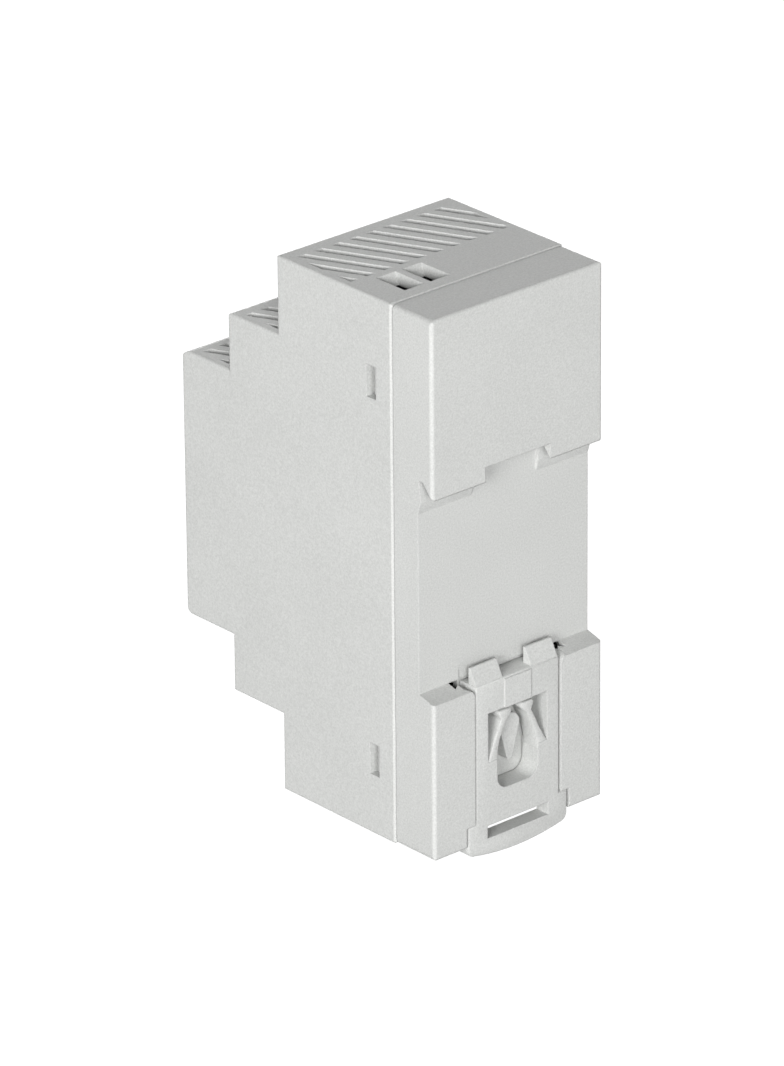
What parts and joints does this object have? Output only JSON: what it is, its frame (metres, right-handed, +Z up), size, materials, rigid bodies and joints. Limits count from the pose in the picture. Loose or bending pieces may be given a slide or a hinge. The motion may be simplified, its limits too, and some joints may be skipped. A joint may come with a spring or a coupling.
{
  "type": "din rail power supply",
  "caption": "Slim stepped switching power supply that clips on a 35 mm top-hat rail, with rising-cage screw terminals, slanted vents and a sliding spring latch.",
  "frame": {"origin": "middle of the rail seat: the plane the rail rests on, half way along the 35 mm rail height, on the middle of the width", "axes": "+Y toward the rail and the wall behind it, +Z up along the tall side, +X across the width"},
  "size_m": [0.035, 0.0582, 0.0927],
  "materials": {
    "housing": "fine spark-eroded texture",
    "board": "solder mask",
    "dark_plastic": "matt",
    "white_plastic": "matt",
    "blue_plastic": "epoxy coating",
    "yellow_plastic": "film",
    "led": "tinted epoxy",
    "clear": "clear acrylic",
    "tin": "tinned",
    "screw_steel": "zinc plated",
    "brass": "stamped",
    "copper": "enamelled wire",
    "ferrite": "sintered",
    "can": "shrink sleeve",
    "heatsink": "plain sheet"
  },
  "bodies": {
    "housing": {"front_cover": "housing", "rear_base": "housing", "main_pcb": "board", "control_pcb": "board", "pin_header": "dark_plastic", "control_ic": "dark_plastic", "dc_ok_led": "led", "light_pipe": "clear", "trimmer_body": "blue_plastic", "input_terminal_block": "dark_plastic", "output_terminal_block": "dark_plastic", "input_contacts": "tin", "output_contacts": "tin", "fuse": "dark_plastic", "varistor": "blue_plastic", "ntc": "dark_plastic", "x_capacitor": "yellow_plastic", "choke_core": "ferrite", "choke_windings": "copper", "bridge_rectifier": "dark_plastic", "bulk_capacitor": "can", "mosfet": "dark_plastic", "primary_heatsink": "heatsink", "transformer_core": "ferrite", "transformer_bobbin": "dark_plastic", "transformer_winding": "yellow_plastic", "y_capacitor": "blue_plastic", "optocoupler": "white_plastic", "output_diode": "dark_plastic", "output_heatsink": "heatsink", "output_capacitors": "can", "output_inductor": "copper"},
    "latch_body": {"latch": "housing"},
    "arm_left": {"latch_arm_left": "housing"},
    "arm_right": {"latch_arm_right": "housing"},
    "rotor": {"trimmer_rotor": "white_plastic"},
    "sin1": {"screw_in_1": "screw_steel"},
    "sin2": {"screw_in_2": "screw_steel"},
    "sout1": {"screw_out_1": "screw_steel"},
    "sout2": {"screw_out_2": "screw_steel"},
    "sout3": {"screw_out_3": "screw_steel"},
    "sout4": {"screw_out_4": "screw_steel"},
    "cin1": {"cage_in_1": "brass"},
    "cin2": {"cage_in_2": "brass"},
    "cout1": {"cage_out_1": "brass"},
    "cout2": {"cage_out_2": "brass"},
    "cout3": {"cage_out_3": "brass"},
    "cout4": {"cage_out_4": "brass"}
  },
  "joints": [
    {"name": "latch_slide", "type": "slide", "parent": "housing", "child": "latch_body", "axis": [0, 0, -1], "range_m": [0, 0.0045], "stiffness_N_per_m": 1500},
    {"name": "arm_left_flex", "type": "hinge", "parent": "latch_body", "child": "arm_left", "pos_m": [-0.005, 0.0012, -0.0326], "axis": [0, -1, 0], "range_deg": [0, 14]},
    {"name": "arm_right_flex", "type": "hinge", "parent": "latch_body", "child": "arm_right", "pos_m": [0.005, 0.0012, -0.0326], "axis": [0, 1, 0], "range_deg": [0, 14]},
    {"name": "trimmer_turn", "type": "hinge", "parent": "housing", "child": "rotor", "pos_m": [-0.009, -0.0515, -0.0037], "axis": [0, 1, 0], "range_deg": [-130, 130]},
    {"name": "screw_in1", "type": "hinge", "parent": "housing", "child": "sin1", "pos_m": [0.0052, -0.021, 0.0372], "axis": [0, 1, 0], "range_deg": [0, 1800.1]},
    {"name": "clamp_in1", "type": "slide", "parent": "housing", "child": "cin1", "axis": [0, -1, 0], "range_m": [0, 0.0025]},
    {"name": "screw_in2", "type": "hinge", "parent": "housing", "child": "sin2", "pos_m": [0.0104, -0.021, 0.0372], "axis": [0, 1, 0], "range_deg": [0, 1800.1]},
    {"name": "clamp_in2", "type": "slide", "parent": "housing", "child": "cin2", "axis": [0, -1, 0], "range_m": [0, 0.0025]},
    {"name": "screw_out1", "type": "hinge", "parent": "housing", "child": "sout1", "pos_m": [-0.0078, -0.021, -0.0372], "axis": [0, 1, 0], "range_deg": [0, 1800.1]},
    {"name": "clamp_out1", "type": "slide", "parent": "housing", "child": "cout1", "axis": [0, -1, 0], "range_m": [0, 0.0025]},
    {"name": "screw_out2", "type": "hinge", "parent": "housing", "child": "sout2", "pos_m": [-0.0026, -0.021, -0.0372], "axis": [0, 1, 0], "range_deg": [0, 1800.1]},
    {"name": "clamp_out2", "type": "slide", "parent": "housing", "child": "cout2", "axis": [0, -1, 0], "range_m": [0, 0.0025]},
    {"name": "screw_out3", "type": "hinge", "parent": "housing", "child": "sout3", "pos_m": [0.0026, -0.021, -0.0372], "axis": [0, 1, 0], "range_deg": [0, 1800.1]},
    {"name": "clamp_out3", "type": "slide", "parent": "housing", "child": "cout3", "axis": [0, -1, 0], "range_m": [0, 0.0025]},
    {"name": "screw_out4", "type": "hinge", "parent": "housing", "child": "sout4", "pos_m": [0.0078, -0.021, -0.0372], "axis": [0, 1, 0], "range_deg": [0, 1800.1]},
    {"name": "clamp_out4", "type": "slide", "parent": "housing", "child": "cout4", "axis": [0, -1, 0], "range_m": [0, 0.0025]}
  ],
  "couplings": [
    {"joint": "arm_left_flex", "follows": "latch_slide", "rad_per_m": 53},
    {"joint": "arm_right_flex", "follows": "latch_slide", "rad_per_m": 53},
    {"joint": "screw_in1", "follows": "clamp_in1", "rad_per_m": 12566},
    {"joint": "screw_in2", "follows": "clamp_in2", "rad_per_m": 12566},
    {"joint": "screw_out1", "follows": "clamp_out1", "rad_per_m": 12566},
    {"joint": "screw_out2", "follows": "clamp_out2", "rad_per_m": 12566},
    {"joint": "screw_out3", "follows": "clamp_out3", "rad_per_m": 12566},
    {"joint": "screw_out4", "follows": "clamp_out4", "rad_per_m": 12566}
  ]
}
